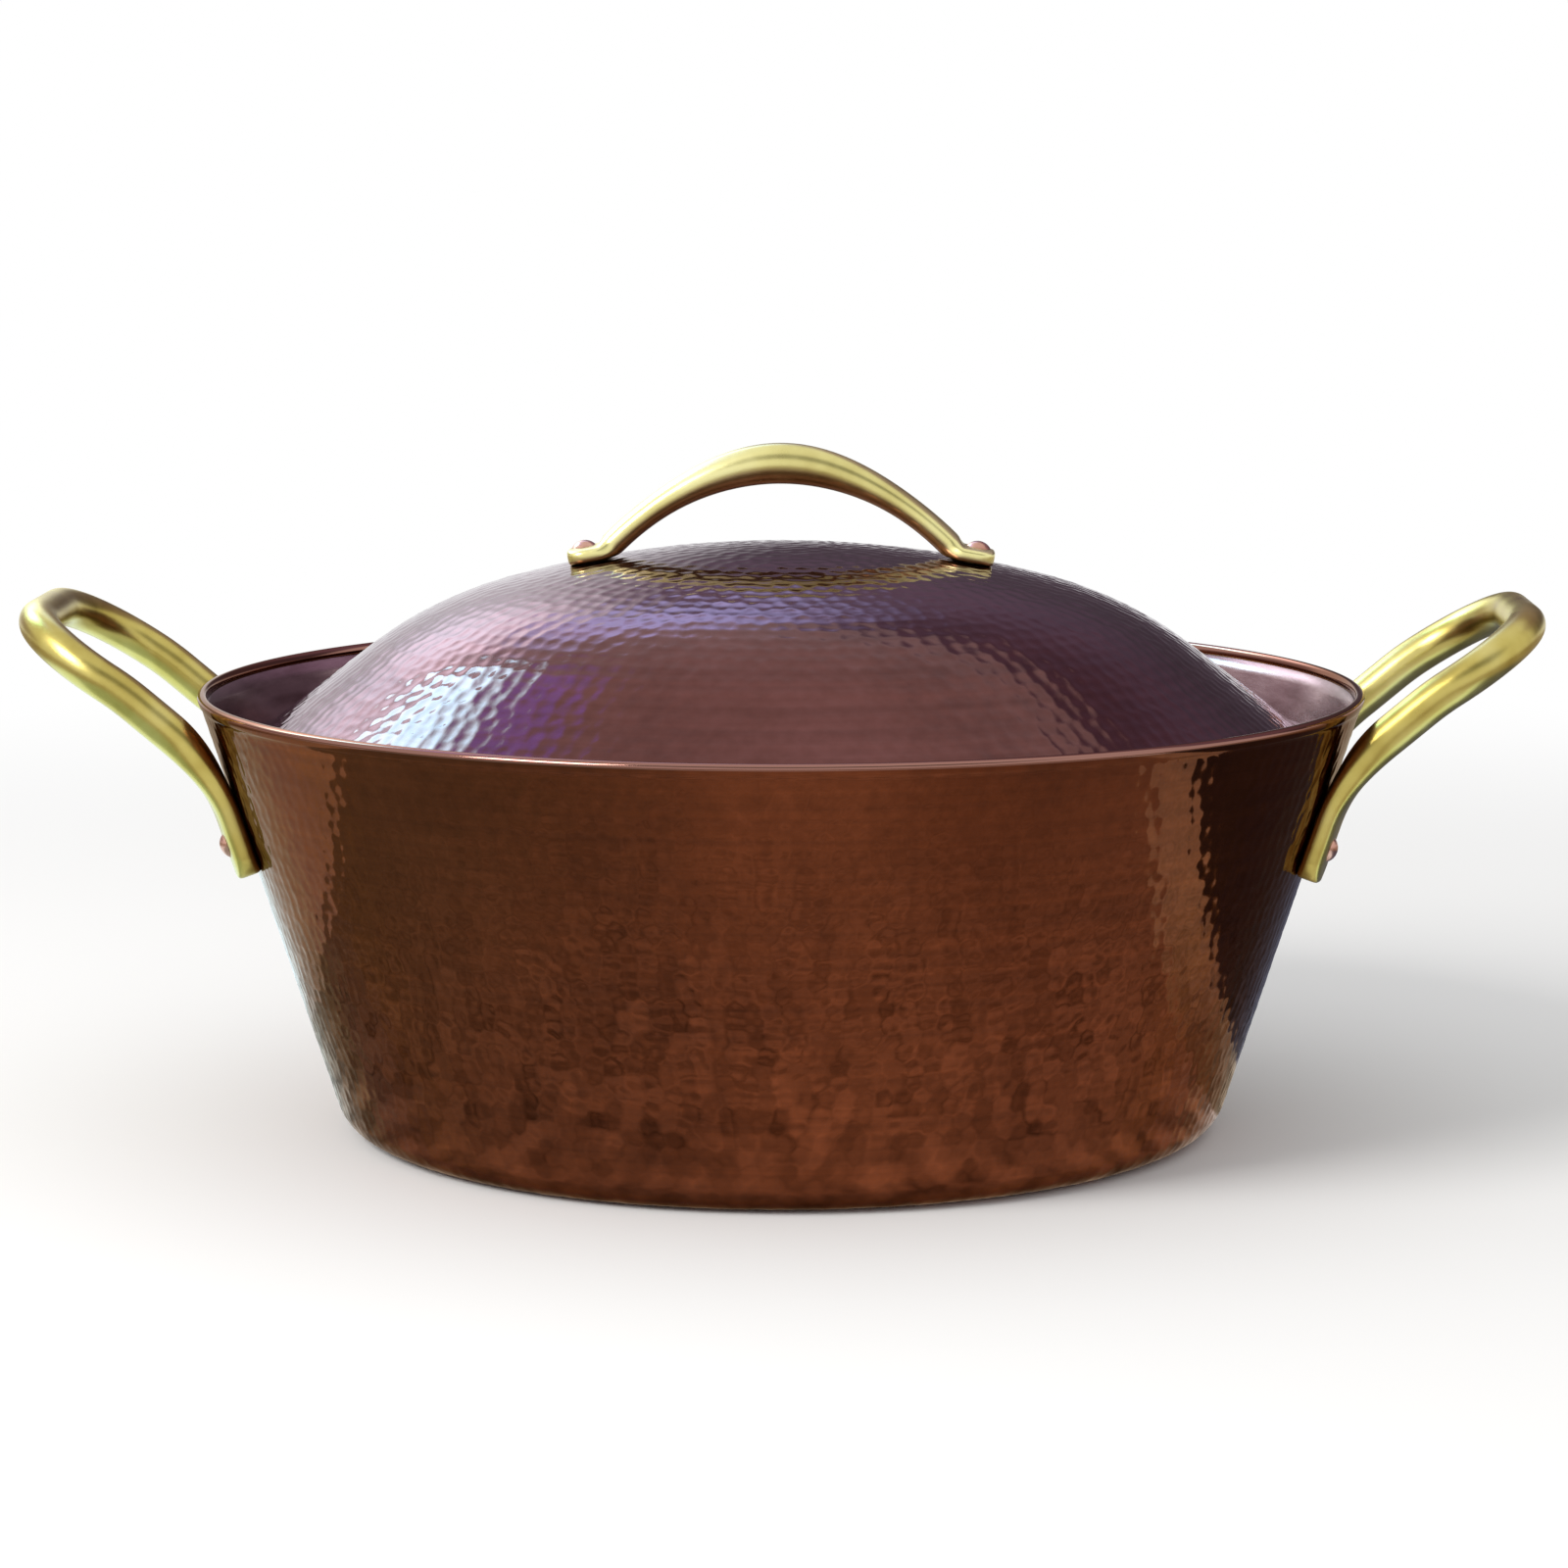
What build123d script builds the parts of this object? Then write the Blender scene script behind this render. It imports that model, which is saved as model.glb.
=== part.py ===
from build123d import *
from math import asin, atan, cos, degrees, pi, radians, sin, sqrt, tan
import os

os.makedirs("parts", exist_ok=True)

# Round hammered copper pot with a drop-in domed lid and forged brass handles.
# Millimetres. The origin is the centre of the base on the table, +Z is up,
# and the two side handles stand out along +X and -X.

# Pot shell
rim_diameter = 240.0
base_diameter = 181.0
pot_height = 91.0
pot_wall = 1.6
base_corner_radius = 8.0
rim_bead_proud = 0.2
rim_bead_edge_radius = 0.8

# Lid sheet, from its brim up to the crown
lid_wall = 1.4
lid_drop = 12.3
lid_clearance = 0.3
brim_width = 3.0
brim_bend_radius = 1.5
skirt_angle = 37.7
shoulder_radius = 80.0
crown_angle = 15.5
crown_radius = 218.0

# Brass rod that the side handles are bent from
rod_diameter = 8.0

# Lid handle: a bar forged thick at the top of its arch, thinner down its legs
arch_rise = 16.7
arch_thickness = 8.4
lid_leg_width = 9.8
lid_leg_thickness = 5.2
lid_leg_angle = 44.5
lid_knee_run = 2.6
lid_rivet_reach = 40.1
lid_knee_past_rivet = 4.3
lid_foot_end = 3.5
lid_foot_width = 11.6
lid_foot_thickness = 3.4

# Side handles
leg_spacing = 60.0
side_rivet_drop = 28.0
side_foot_end = 7.2
side_foot_width = 10.4
side_foot_thickness = 4.8
side_foot_corner_radius = 4.2
knee_above_rivet = 16.2
knee_radius = 40.0
leg_angle = 40.0
leg_run = 30.6
shoulder_bend_radius = 60.0
grip_angle = 30.0
grip_run = 16.2
grip_corner_radius = 15.0

# Forging: the edge radius as a share of the thickness, on the rounded bar and
# on the flat of a foot, how fast the lid handle thins away from its top, the
# sections that shape each length, and how far a foot's edges reach into the
# sheet before its underside is cut to fit
forged_edge_start = 0.49
forged_edge_end = 0.40
arch_swell = 3
arch_stages = 12
forging_stages = 4
foot_edge_bite = 0.05

# Copper rivets
rivet_shank_diameter = 3.4
rivet_hole_clearance = 0.05
rivet_head_diameter = 5.0
rivet_head_height = 1.3
rivet_head_margin = 0.3
rivet_tail_diameter = 6.2
rivet_tail_height = 0.9

# Pot wall, a cone between the two diameters
rim_radius = rim_diameter / 2
base_radius = base_diameter / 2
wall_slope = (rim_radius - base_radius) / pot_height
wall_lean = atan(wall_slope)
side_rivet_height = pot_height - side_rivet_drop


def outer_radius(z):
    """Outside radius of the pot wall at height z."""
    return base_radius + wall_slope * z


def inner_radius(z):
    """Inside radius of the pot wall at height z."""
    return outer_radius(z) - pot_wall / cos(wall_lean)


def sagitta(half_chord, radius):
    """Height of a round surface over a flat of the given half width."""
    return radius - sqrt(radius**2 - half_chord**2)


# Lid heights, worked up from the brim that rests on the taper of the wall
brim_edge_radius = lid_wall / 2
brim_z = pot_height - lid_drop
brim_reach = inner_radius(brim_z) - (brim_edge_radius + lid_clearance) / cos(wall_lean)
brim_top = brim_z + lid_wall / 2
brim_bottom = brim_z - lid_wall / 2
skirt_end_radius = brim_reach - brim_width
crown_tilt = radians(crown_angle)
skirt_tilt = radians(skirt_angle)
shoulder_centre_r = (crown_radius - shoulder_radius) * sin(crown_tilt)
shoulder_end_radius = shoulder_centre_r + shoulder_radius * sin(skirt_tilt)
shoulder_end_z = brim_top + (skirt_end_radius - shoulder_end_radius) * tan(skirt_tilt)
shoulder_centre_z = shoulder_end_z - shoulder_radius * cos(skirt_tilt)
crown_centre_z = shoulder_centre_z - (crown_radius - shoulder_radius) * cos(crown_tilt)
crown_top = crown_centre_z + crown_radius

# Seats of the feet: each plane's z axis is the rivet's axis, out of the sheet,
# and its y axis runs along the foot, towards the knee
side_foot_bite = sagitta(side_foot_width / 2, outer_radius(side_rivet_height)) + foot_edge_bite
side_foot_grip = side_foot_thickness - side_foot_bite
side_foot_middle = side_foot_grip - side_foot_thickness / 2
lid_foot_bite = sagitta(lid_foot_width / 2, crown_radius) + foot_edge_bite
lid_foot_grip = lid_foot_thickness - lid_foot_bite
lid_foot_middle = lid_foot_grip - lid_foot_thickness / 2


def wall_seat(side, end):
    """Seat on the pot wall: side is +1 or -1 along X, end is +1 or -1 along Y."""
    radius = outer_radius(side_rivet_height)
    turn = asin(leg_spacing / 2 / (radius + side_foot_middle * cos(wall_lean)))
    point = Vector(side * radius * cos(turn), end * radius * sin(turn), side_rivet_height)
    normal = Vector(
        side * cos(wall_lean) * cos(turn), end * cos(wall_lean) * sin(turn), -sin(wall_lean)
    )
    foot_line = Vector(side * wall_slope / cos(turn), 0, 1)
    return Plane(origin=point, x_dir=foot_line.cross(normal), z_dir=normal)


def crown_seat(side):
    """Seat on the lid's crown: side is +1 or -1 along X."""
    tilt = asin(lid_rivet_reach / crown_radius)
    normal = Vector(side * sin(tilt), 0, cos(tilt))
    point = Vector(0, 0, crown_centre_z) + normal * crown_radius
    return Plane(origin=point, x_dir=(0, 1, 0), z_dir=normal)


side_seats = {
    "right_front": wall_seat(1, -1),
    "right_back": wall_seat(1, 1),
    "left_front": wall_seat(-1, -1),
    "left_back": wall_seat(-1, 1),
}
lid_seats = {"lid_right": crown_seat(1), "lid_left": crown_seat(-1)}


def drill(seats):
    """Cuts the rivet holes of these seats through the part being built."""
    for seat in seats:
        with BuildSketch(seat) as hole:
            Circle(rivet_shank_diameter / 2 + rivet_hole_clearance)
        extrude(hole.sketch, amount=2 * rod_diameter, both=True, mode=Mode.SUBTRACT)


# Pot shell: one raised sheet with a flat floor, a leaning wall and a beaded rim
bead_size = pot_wall + 2 * rim_bead_proud
bead_z = pot_height - bead_size / 2
bead_r = (outer_radius(bead_z) + inner_radius(bead_z)) / 2
with BuildPart() as pot_body:
    with BuildSketch(Plane.XZ):
        with BuildLine():
            FilletPolyline(
                (0, 0),
                (base_radius, 0),
                (outer_radius(bead_z), bead_z),
                (inner_radius(bead_z), bead_z),
                (inner_radius(pot_wall), pot_wall),
                (0, pot_wall),
                radius=[base_corner_radius, 0, 0, base_corner_radius - pot_wall],
            )
            Line((0, pot_wall), (0, 0))
        make_face()
        with Locations((bead_r, bead_z)):
            RectangleRounded(
                bead_size, bead_size, rim_bead_edge_radius, rotation=-degrees(wall_lean)
            )
    revolve(axis=Axis.Z)
    drill(side_seats.values())
pot_body.part.label = "pot_body"


# Lid: crown, shoulder, straight skirt and a narrow turned brim, in one sheet
def shoulder_point(radius):
    """End of the shoulder arc of the given radius, where the skirt starts."""
    return (
        shoulder_centre_r + radius * sin(skirt_tilt),
        shoulder_centre_z + radius * cos(skirt_tilt),
    )


def skirt_corner(start, z):
    """Point at height z on the skirt line that leaves the shoulder at start."""
    return (start[0] + (start[1] - z) / tan(skirt_tilt), z)


skirt_outside = shoulder_point(shoulder_radius)
skirt_inside = shoulder_point(shoulder_radius - lid_wall)
with BuildPart() as lid:
    with BuildSketch(Plane.YZ):
        with BuildLine():
            CenterArc((0, crown_centre_z), crown_radius, 90, -crown_angle)
            CenterArc(
                (shoulder_centre_r, shoulder_centre_z),
                shoulder_radius,
                90 - crown_angle,
                crown_angle - skirt_angle,
            )
            FilletPolyline(
                skirt_outside,
                skirt_corner(skirt_outside, brim_top),
                (brim_reach, brim_top),
                radius=[brim_bend_radius],
            )
            CenterArc((brim_reach, brim_z), brim_edge_radius, 90, -180)
            FilletPolyline(
                (brim_reach, brim_bottom),
                skirt_corner(skirt_inside, brim_bottom),
                skirt_inside,
                radius=[brim_bend_radius + lid_wall],
            )
            CenterArc(
                (shoulder_centre_r, shoulder_centre_z),
                shoulder_radius - lid_wall,
                90 - skirt_angle,
                skirt_angle - crown_angle,
            )
            CenterArc(
                (0, crown_centre_z), crown_radius - lid_wall, 90 - crown_angle, crown_angle
            )
            Line((0, crown_top - lid_wall), (0, crown_top))
        make_face()
    revolve(axis=Axis.Z)
    drill(lid_seats.values())
lid.part.label = "lid"


# Forged feet: the round rod is drawn out flat round the bend of its knee
def edge_share(share):
    """Edge radius over thickness at this share of the forging."""
    return forged_edge_start + (forged_edge_end - forged_edge_start) * share


def forged_knee(leg_outline, leg_size, leg_end, corner, foot_start, seat, foot_size):
    """Lofts the bar from its leg, round the corner, to the flat foot. Each size
    is a width and a thickness."""
    outlines = [leg_outline]
    for stage in range(1, forging_stages + 1):
        share = stage / forging_stages
        inward = leg_end + (corner - leg_end) * share
        outward = corner + (foot_start - corner) * share
        section = Plane(
            origin=inward + (outward - inward) * share,
            x_dir=Vector(0, 1, 0) * (1 - share) + seat.x_dir * share,
            z_dir=outward - inward,
        )
        width = leg_size[0] + (foot_size[0] - leg_size[0]) * share
        thickness = leg_size[1] + (foot_size[1] - leg_size[1]) * share
        with BuildSketch(section) as outline:
            RectangleRounded(width, thickness, thickness * edge_share(share))
        outlines.append(outline.sketch)
    loft(outlines)


def flat_foot(foot_start, seat, length, width, thickness, corner_radius):
    """Carries the flat on past its rivet and rounds the corners of its end."""
    along = -seat.y_dir
    with BuildSketch(Plane(origin=foot_start, x_dir=seat.x_dir, z_dir=along)) as flat:
        RectangleRounded(width, thickness, thickness * edge_share(1))
    extrude(flat.sketch, amount=length)
    foot_end = foot_start + along * length
    with BuildSketch(Plane(origin=foot_end, x_dir=seat.x_dir, z_dir=seat.z_dir)) as trim:
        Rectangle(2 * width, 2 * corner_radius)
        with Locations((0, length)):
            RectangleRounded(width, 2 * length, corner_radius, mode=Mode.SUBTRACT)
    extrude(trim.sketch, amount=thickness, both=True, mode=Mode.SUBTRACT)


# Lid handle: one forged arch whose two feet lie on the crown
lid_seat = lid_seats["lid_right"]
lid_foot_centre = lid_seat.origin + lid_seat.z_dir * lid_foot_middle
lid_corner = lid_foot_centre + lid_seat.y_dir * lid_knee_past_rivet
lid_foot_flat = rivet_head_diameter / 2 + rivet_head_margin
lid_foot_start = lid_foot_centre + lid_seat.y_dir * lid_foot_flat
lid_leg_tilt = radians(lid_leg_angle)
lid_leg_end = lid_corner + Vector(-cos(lid_leg_tilt), 0, sin(lid_leg_tilt)) * lid_knee_run
with BuildPart() as lid_handle:
    with BuildLine(Plane.XZ) as arch:
        Spline(
            (-lid_leg_end.X, lid_leg_end.Z),
            (0, crown_top + arch_rise),
            (lid_leg_end.X, lid_leg_end.Z),
            tangents=[
                (cos(lid_leg_tilt), sin(lid_leg_tilt)),
                (1, 0),
                (cos(lid_leg_tilt), -sin(lid_leg_tilt)),
            ],
        )
    arch_outlines = []
    for stage in range(arch_stages + 1):
        share = stage / arch_stages
        swell = sin(pi * share) ** arch_swell
        bar_width = lid_leg_width + (arch_thickness - lid_leg_width) * swell
        bar_thickness = lid_leg_thickness + (arch_thickness - lid_leg_thickness) * swell
        section = Plane(origin=arch.line @ share, x_dir=(0, 1, 0), z_dir=arch.line % share)
        with BuildSketch(section) as bar_outline:
            RectangleRounded(bar_width, bar_thickness, bar_thickness * edge_share(0))
        arch_outlines.append(bar_outline.sketch)
    loft(arch_outlines)
    forged_knee(
        arch_outlines[-1],
        (lid_leg_width, lid_leg_thickness),
        lid_leg_end,
        lid_corner,
        lid_foot_start,
        lid_seat,
        (lid_foot_width, lid_foot_thickness),
    )
    flat_foot(
        lid_foot_start,
        lid_seat,
        lid_foot_flat + lid_foot_end,
        lid_foot_width,
        lid_foot_thickness,
        lid_foot_end,
    )
    mirror(about=Plane.YZ)
    with Locations((0, 0, crown_centre_z)):
        Sphere(crown_radius, mode=Mode.SUBTRACT)
    drill(lid_seats.values())
lid_handle.part.label = "lid_handle"

# Side handle: a loop of rod, its two legs bent down on to the leaning wall
side_seat = side_seats["right_back"]
side_foot_centre = side_seat.origin + side_seat.z_dir * side_foot_middle
knee_corner = side_foot_centre + side_seat.y_dir * knee_above_rivet
leg_tilt = radians(leg_angle)
grip_tilt = radians(grip_angle)
leg_direction = Vector(cos(leg_tilt), 0, sin(leg_tilt))
grip_direction = Vector(cos(grip_tilt), 0, sin(grip_tilt))
leg_top = knee_corner + leg_direction * leg_run
grip_corner = leg_top + grip_direction * grip_run
grip_middle = Vector(grip_corner.X, 0, grip_corner.Z)
knee_turn = radians(side_seat.y_dir.get_angle(leg_direction))
knee_length = knee_radius * tan(knee_turn / 2)
leg_start = knee_corner + leg_direction * knee_length
side_foot_start = knee_corner - side_seat.y_dir * knee_length
side_foot_length = knee_above_rivet - knee_length + side_foot_end
with BuildPart() as right_handle:
    with BuildLine() as grip:
        FilletPolyline(
            grip_middle,
            grip_corner,
            leg_top,
            leg_start,
            radius=[grip_corner_radius, shoulder_bend_radius],
        )
    with BuildSketch(Plane(origin=grip_middle, z_dir=(0, 1, 0))):
        Circle(rod_diameter / 2)
    sweep()
    with BuildSketch(Plane(origin=leg_start, x_dir=(0, 1, 0), z_dir=-leg_direction)) as leg_outline:
        Circle(rod_diameter / 2)
    forged_knee(
        leg_outline.sketch,
        (rod_diameter, rod_diameter),
        leg_start,
        knee_corner,
        side_foot_start,
        side_seat,
        (side_foot_width, side_foot_thickness),
    )
    flat_foot(
        side_foot_start,
        side_seat,
        side_foot_length,
        side_foot_width,
        side_foot_thickness,
        side_foot_corner_radius,
    )
    mirror(about=Plane.XZ)
    with Locations((0, 0, pot_height / 2)):
        Cone(base_radius, rim_radius, pot_height, mode=Mode.SUBTRACT)
    drill([side_seats["right_front"], side_seats["right_back"]])
right_handle.part.label = "right_handle"

# The left handle is the same forging, turned half round the pot
with BuildPart() as left_handle:
    add(right_handle.part, rotation=(0, 0, 180))
left_handle.part.label = "left_handle"


# Rivets: a domed head on the foot, a shank through both, a low tail inside
def domed_rivet(seat, grip, sheet, carrier):
    """Rivet on the seat's axis, its tail set down on the inside of the sheet."""
    head_radius = rivet_head_diameter / 2
    tail_radius = rivet_tail_diameter / 2
    shank_radius = rivet_shank_diameter / 2
    with BuildPart() as rivet:
        with BuildSketch(
            Plane(origin=seat.origin, x_dir=seat.x_dir, z_dir=seat.x_dir.cross(seat.z_dir))
        ):
            with BuildLine():
                Line((0, -sheet - rivet_tail_height), (0, grip + rivet_head_height))
                TangentArc((0, grip + rivet_head_height), (head_radius, grip), tangent=(1, 0))
                Polyline(
                    (head_radius, grip),
                    (shank_radius, grip),
                    (shank_radius, -sheet),
                    (tail_radius, -sheet),
                )
                TangentArc(
                    (0, -sheet - rivet_tail_height), (tail_radius, -sheet), tangent=(1, 0)
                )
            make_face()
        revolve(axis=Axis(seat.origin, seat.z_dir))
        # The tail's edge is cut back to the curved inside of the sheet
        add(carrier.part, mode=Mode.SUBTRACT)
    return rivet.part


rivets = {}
for place, seat in side_seats.items():
    rivets[place + "_rivet"] = domed_rivet(seat, side_foot_grip, pot_wall, pot_body)
for place, seat in lid_seats.items():
    rivets[place + "_rivet"] = domed_rivet(seat, lid_foot_grip, lid_wall, lid)

for piece in (pot_body, lid, lid_handle, left_handle, right_handle):
    export_step(piece.part, "parts/" + piece.part.label + ".step")
for name, rivet in rivets.items():
    rivet.label = name
    export_step(rivet, "parts/" + name + ".step")
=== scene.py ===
from math import asin, atan, copysign, cos, hypot, pi, radians, sin, sqrt, tan

import bmesh
import bpy
from mathutils import Matrix, Vector


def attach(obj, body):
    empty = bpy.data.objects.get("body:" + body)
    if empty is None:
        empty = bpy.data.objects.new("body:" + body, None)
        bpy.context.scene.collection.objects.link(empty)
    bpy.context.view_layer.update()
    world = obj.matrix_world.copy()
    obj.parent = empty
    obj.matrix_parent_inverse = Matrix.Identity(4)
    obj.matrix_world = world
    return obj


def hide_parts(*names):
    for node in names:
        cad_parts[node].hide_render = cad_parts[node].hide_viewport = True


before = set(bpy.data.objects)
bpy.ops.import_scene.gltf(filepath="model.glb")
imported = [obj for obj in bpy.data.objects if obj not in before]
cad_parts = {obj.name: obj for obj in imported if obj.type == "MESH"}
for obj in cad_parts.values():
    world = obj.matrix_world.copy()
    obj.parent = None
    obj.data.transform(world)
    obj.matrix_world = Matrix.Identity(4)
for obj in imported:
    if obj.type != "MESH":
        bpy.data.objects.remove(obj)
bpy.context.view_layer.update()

# Camera: a long lens a metre from the pot, a little above the rim, turned by
# the small angle at which the pot stands to the picture.
pot_middle = Vector((0, 0, 0.0500))
pot_yaw = 1.5
camera_elevation = 9.36
camera_distance = 1.0
lens_mm = 110.4
looked_at = Vector((0.0006, 0, 0.0702))


def around_pot(azimuth, elevation, distance):
    """A place this far from the pot: azimuth 0 is the front, -Y, and 90 the right, +X."""
    turn, lift = radians(azimuth), radians(elevation)
    direction = Vector((sin(turn) * cos(lift), -cos(turn) * cos(lift), sin(lift)))
    return pot_middle + direction * distance


def face(thing, place, target):
    """Puts a camera, lamp or card at place, facing target."""
    thing.location = place
    thing.rotation_mode = "QUATERNION"
    thing.rotation_quaternion = (target - place).to_track_quat("-Z", "Y")


def new_object(name, data):
    """An object with this mesh, curve, lamp or camera, in the scene."""
    made = bpy.data.objects.new(name, data)
    bpy.context.scene.collection.objects.link(made)
    return made


camera_data = bpy.data.cameras.new("camera")
camera_data.lens = lens_mm
camera = new_object("camera", camera_data)
face(camera, around_pot(pot_yaw, camera_elevation, camera_distance), looked_at)
bpy.context.scene.camera = camera
bpy.context.scene.view_settings.view_transform = "Standard"


# Studio: a pale floor that runs out to white, a white room and one soft key lamp.
# Rays that meet the eye, straight or mirrored, find the room and far floor white.
def node(tree, kind, inputs=(), **settings):
    """Adds a node, sets its properties, and joins or sets its inputs."""
    made = tree.nodes.new(kind)
    for name, value in settings.items():
        setattr(made, name, value)
    for key, value in dict(inputs).items():
        if isinstance(value, bpy.types.NodeSocket):
            tree.links.new(value, made.inputs[key])
        else:
            made.inputs[key].default_value = value
    return made


def math(tree, operation, *values):
    """A Math node's result for these values or sockets."""
    return node(tree, "ShaderNodeMath", enumerate(values), operation=operation).outputs[0]


def length(tree, vector):
    """How long a vector is."""
    return node(tree, "ShaderNodeVectorMath", {0: vector}, operation="LENGTH").outputs["Value"]


def crossing(tree, value, low, high, shape="SMOOTHSTEP"):
    """Rises from 0 to 1 as the value goes from low to high."""
    span = {"Value": value, "From Min": low, "From Max": high}
    return node(tree, "ShaderNodeMapRange", span, interpolation_type=shape).outputs["Result"]


def seen_rays(tree):
    """1 for rays that meet the eye, straight or mirrored, and 0 for those that light."""
    rays = node(tree, "ShaderNodeLightPath").outputs
    seen = math(tree, "MAXIMUM", rays["Is Camera Ray"], rays["Is Glossy Ray"])
    return math(tree, "MAXIMUM", seen, rays["Is Transmission Ray"])


def new_material(name):
    """An empty node material and its tree."""
    material = bpy.data.materials.new(name)
    material.use_nodes = True
    material.node_tree.nodes.clear()
    return material, material.node_tree


floor_half = 30.0
floor_drop = 0.0002
floor_grey = 0.86
shadow_reach = 0.30
white_reach = 0.75

bpy.ops.mesh.primitive_plane_add(size=2 * floor_half, location=(0, 0, -floor_drop))
floor = bpy.context.object
floor.name = "floor"
floor_paint, tree = new_material("floor_paint")
away = length(tree, node(tree, "ShaderNodeNewGeometry").outputs["Position"])
fade = crossing(tree, away, shadow_reach, white_reach)
fade = math(tree, "MULTIPLY", fade, seen_rays(tree))
matt = node(tree, "ShaderNodeBsdfDiffuse", {"Color": (floor_grey, floor_grey, floor_grey, 1)})
white = node(tree, "ShaderNodeEmission", {"Color": (1, 1, 1, 1), "Strength": 1.0})
both = node(tree, "ShaderNodeMixShader", {0: fade, 1: matt.outputs[0], 2: white.outputs[0]})
node(tree, "ShaderNodeOutputMaterial", {"Surface": both.outputs[0]})
floor.data.materials.append(floor_paint)

room_light = 0.80
world = bpy.data.worlds.new("room")
bpy.context.scene.world = world
world.use_nodes = True
tree = world.node_tree
tree.nodes.clear()
strength = math(tree, "MULTIPLY_ADD", seen_rays(tree), 1 - room_light, room_light)
background = node(tree, "ShaderNodeBackground", {"Color": (1, 1, 1, 1), "Strength": strength})
node(tree, "ShaderNodeOutputWorld", {"Surface": background.outputs[0]})

key_data = bpy.data.lights.new("key", "AREA")
key_data.size = 0.60
key_data.energy = 14.0
key_data.color = (1.0, 0.98, 0.95)
key = new_object("key", key_data)
face(key, around_pot(azimuth=-48, elevation=34, distance=1.4), pot_middle)


# Painted reflections for the polished metal: glowing cards, no lamps, that stand for a window with
# its glow and bits of sky, and dark cards that paint dim walls; they stand out of view and nothing
# else sees them.
low_until = -0.15
high_from = 0.10


def blended(tree, share, first, second):
    """The first colour where share is 0 and the second where it is 1."""
    colours = {0: share, 6: first, 7: second}
    return node(tree, "ShaderNodeMix", colours, data_type="RGBA").outputs[2]


def own_place(tree):
    """A point's place in its piece's own coordinates."""
    return node(tree, "ShaderNodeTexCoord").outputs["Object"]


def axes(tree, place):
    """The X, Y and Z of a place."""
    return node(tree, "ShaderNodeSeparateXYZ", {0: place}).outputs


def plain_card(name, material):
    """A square card, a metre wide, that shows only in what mirrors it."""
    bpy.ops.mesh.primitive_plane_add(size=1)
    card = bpy.context.object
    card.name = name
    card.data.materials.append(material)
    card.visible_camera = False
    card.visible_diffuse = False
    card.visible_shadow = False
    return card


def mirrored_card(name, at, size, soft, colour, low=None):
    """A painted reflection: a glowing or dark card, no lamp, at this azimuth, elevation and
    distance.
    Its edges fade over the soft shares of its width and height, and low colours its lower half."""
    material, tree = new_material(name)
    across = axes(tree, own_place(tree))
    height = crossing(tree, across["Y"], low_until, high_from, shape="LINEAR")
    painted = blended(tree, height, (*(low or colour), 1), (*colour, 1))
    edges = []
    for side, share in zip(("X", "Y"), soft):
        out = math(tree, "ABSOLUTE", across[side])
        edges.append(math(tree, "SUBTRACT", 1, crossing(tree, out, 0.5 - share / 2, 0.5)))
    shown = math(tree, "MULTIPLY", *edges)
    glow = node(tree, "ShaderNodeEmission", {"Color": painted})
    clear = node(tree, "ShaderNodeBsdfTransparent")
    pane = node(tree, "ShaderNodeMixShader", {0: shown, 1: clear.outputs[0], 2: glow.outputs[0]})
    node(tree, "ShaderNodeOutputMaterial", {"Surface": pane.outputs[0]})
    card = plain_card(name, material)
    card.scale = (*size, 1)
    face(card, around_pot(*at), pot_middle)


mirrored_card(
    "window",
    at=(-129, 37, 1.5),
    size=(0.42, 0.84),
    soft=(0.16, 0.8),
    colour=(5.0, 11.6, 14.2),
    low=(6.2, 10.6, 11.2),
)
mirrored_card(
    "window_glow", at=(-150, 30, 1.6), size=(1.15, 0.95), soft=(1, 1), colour=(3.7, 4.0, 4.4)
)
mirrored_card(
    "violet_sky", at=(-125, 55, 1.6), size=(0.62, 0.62), soft=(1, 1), colour=(1.1, 1.0, 3.0)
)
mirrored_card(
    "lilac_sky", at=(-166, 43, 1.6), size=(1.15, 0.55), soft=(1, 1), colour=(1.7, 2.2, 3.8)
)
mirrored_card(
    "dark_back",
    at=(150, 28, 1.8),
    size=(3.0, 1.9),
    soft=(0.3, 0.3),
    colour=(0.34, 0.25, 0.34),
    low=(0.13, 0.10, 0.12),
)
mirrored_card(
    "dim_front", at=(5, 45, 1.9), size=(4.6, 1.3), soft=(0.6, 0.6), colour=(0.30, 0.30, 0.27)
)
mirrored_card(
    "dim_left", at=(-122, 8, 1.9), size=(1.9, 0.60), soft=(0.4, 0.5), colour=(0.50, 0.42, 0.44)
)


# Painted reflection of the ground for the wall to mirror: a glowing card, no lamp, dim in front,
# painted as lit floor at both its sides, with a painted shadow round at the right and painted
# contact shade under the pot. Only what mirrors it sees this card either.
ground_size = (2.0, 1.6)
ground_lift = 0.0001
ground_slant = 0.9
ground_offset = 0.153
# Painted reflections of the ground: in front, lit floor at the sides, a shadow at the right limb,
# far off and under the pot
front_left = (0.50, 0.63, 0.60, 1)
front_middle = (1.05, 1.05, 1.05, 1)
front_right = (0.80, 0.77, 0.76, 1)
painted_lit_floor = (1.22, 1.50, 1.60, 1)
painted_floor_near_pot = (0.42, 0.35, 0.26, 1)
painted_limb_shadow = (0.13, 0.14, 0.20, 1)
far_ground = (0.46, 0.38, 0.28, 1)
painted_contact_shade = (0.30, 0.22, 0.15, 1)
left_to_middle = (-0.190, 0.020)
middle_to_right = (0.030, 0.110)
left_bright_from = (0.011, 0.014)
right_bright_from = (-0.074, -0.070)
limb_from = (-0.017, -0.013)
limb_grows = (0.020, 0.130)
foot_to_side = (0.100, 0.190)
pot_to_ground = (0.086, 0.098)
ground_to_far = (0.30, 0.36)
pebble_scale = 110.0
pebble_contrast = (2.5, 0.6)
pebbles_calm = (0.125, 0.220)


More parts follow.
